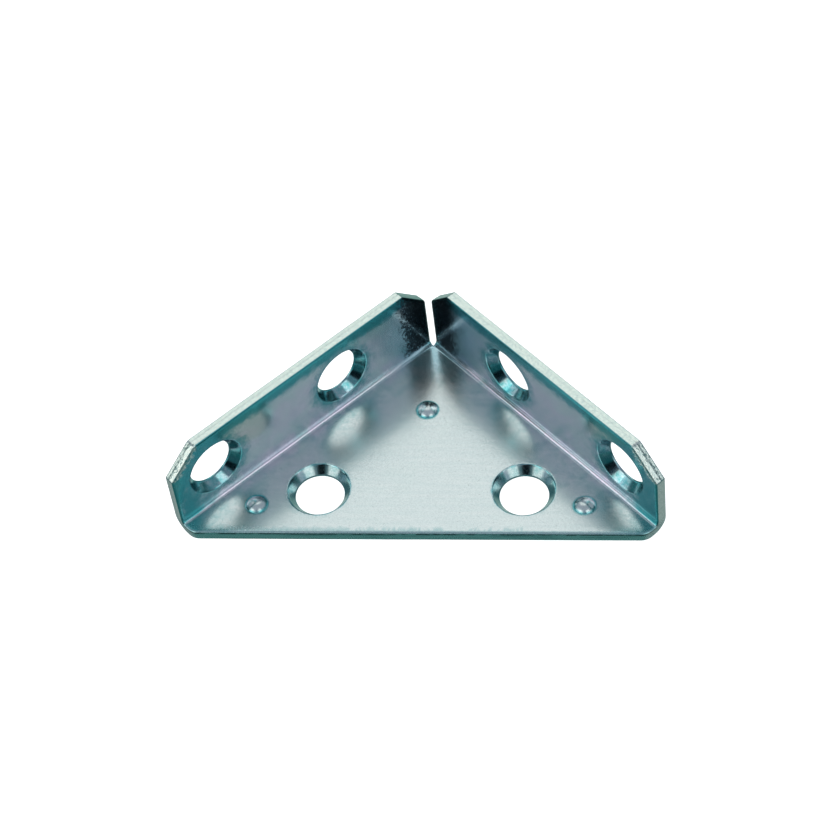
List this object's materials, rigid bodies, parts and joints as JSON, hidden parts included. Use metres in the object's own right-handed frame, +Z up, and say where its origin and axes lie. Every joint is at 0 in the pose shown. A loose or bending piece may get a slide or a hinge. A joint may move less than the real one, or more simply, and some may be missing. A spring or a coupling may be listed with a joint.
{
  "type": "triangular corner brace",
  "caption": "Triangular corner brace folded from sheet steel: a flat base with upright flanges along its legs, countersunk screw holes and pressed bumps, for fixing right-angled corners.",
  "frame": {"origin": "under the middle of the footprint, on the underside of the base", "axes": "+X along the front edge, +Y back to the corner where the flanges meet, +Z up from the base"},
  "size_m": [0.0494, 0.0256, 0.0108],
  "materials": {
    "plated_steel": "satin zinc plating, pale blue-green"
  },
  "bodies": {
    "root": {"brace": "plated_steel"}
  },
  "joints": []
}
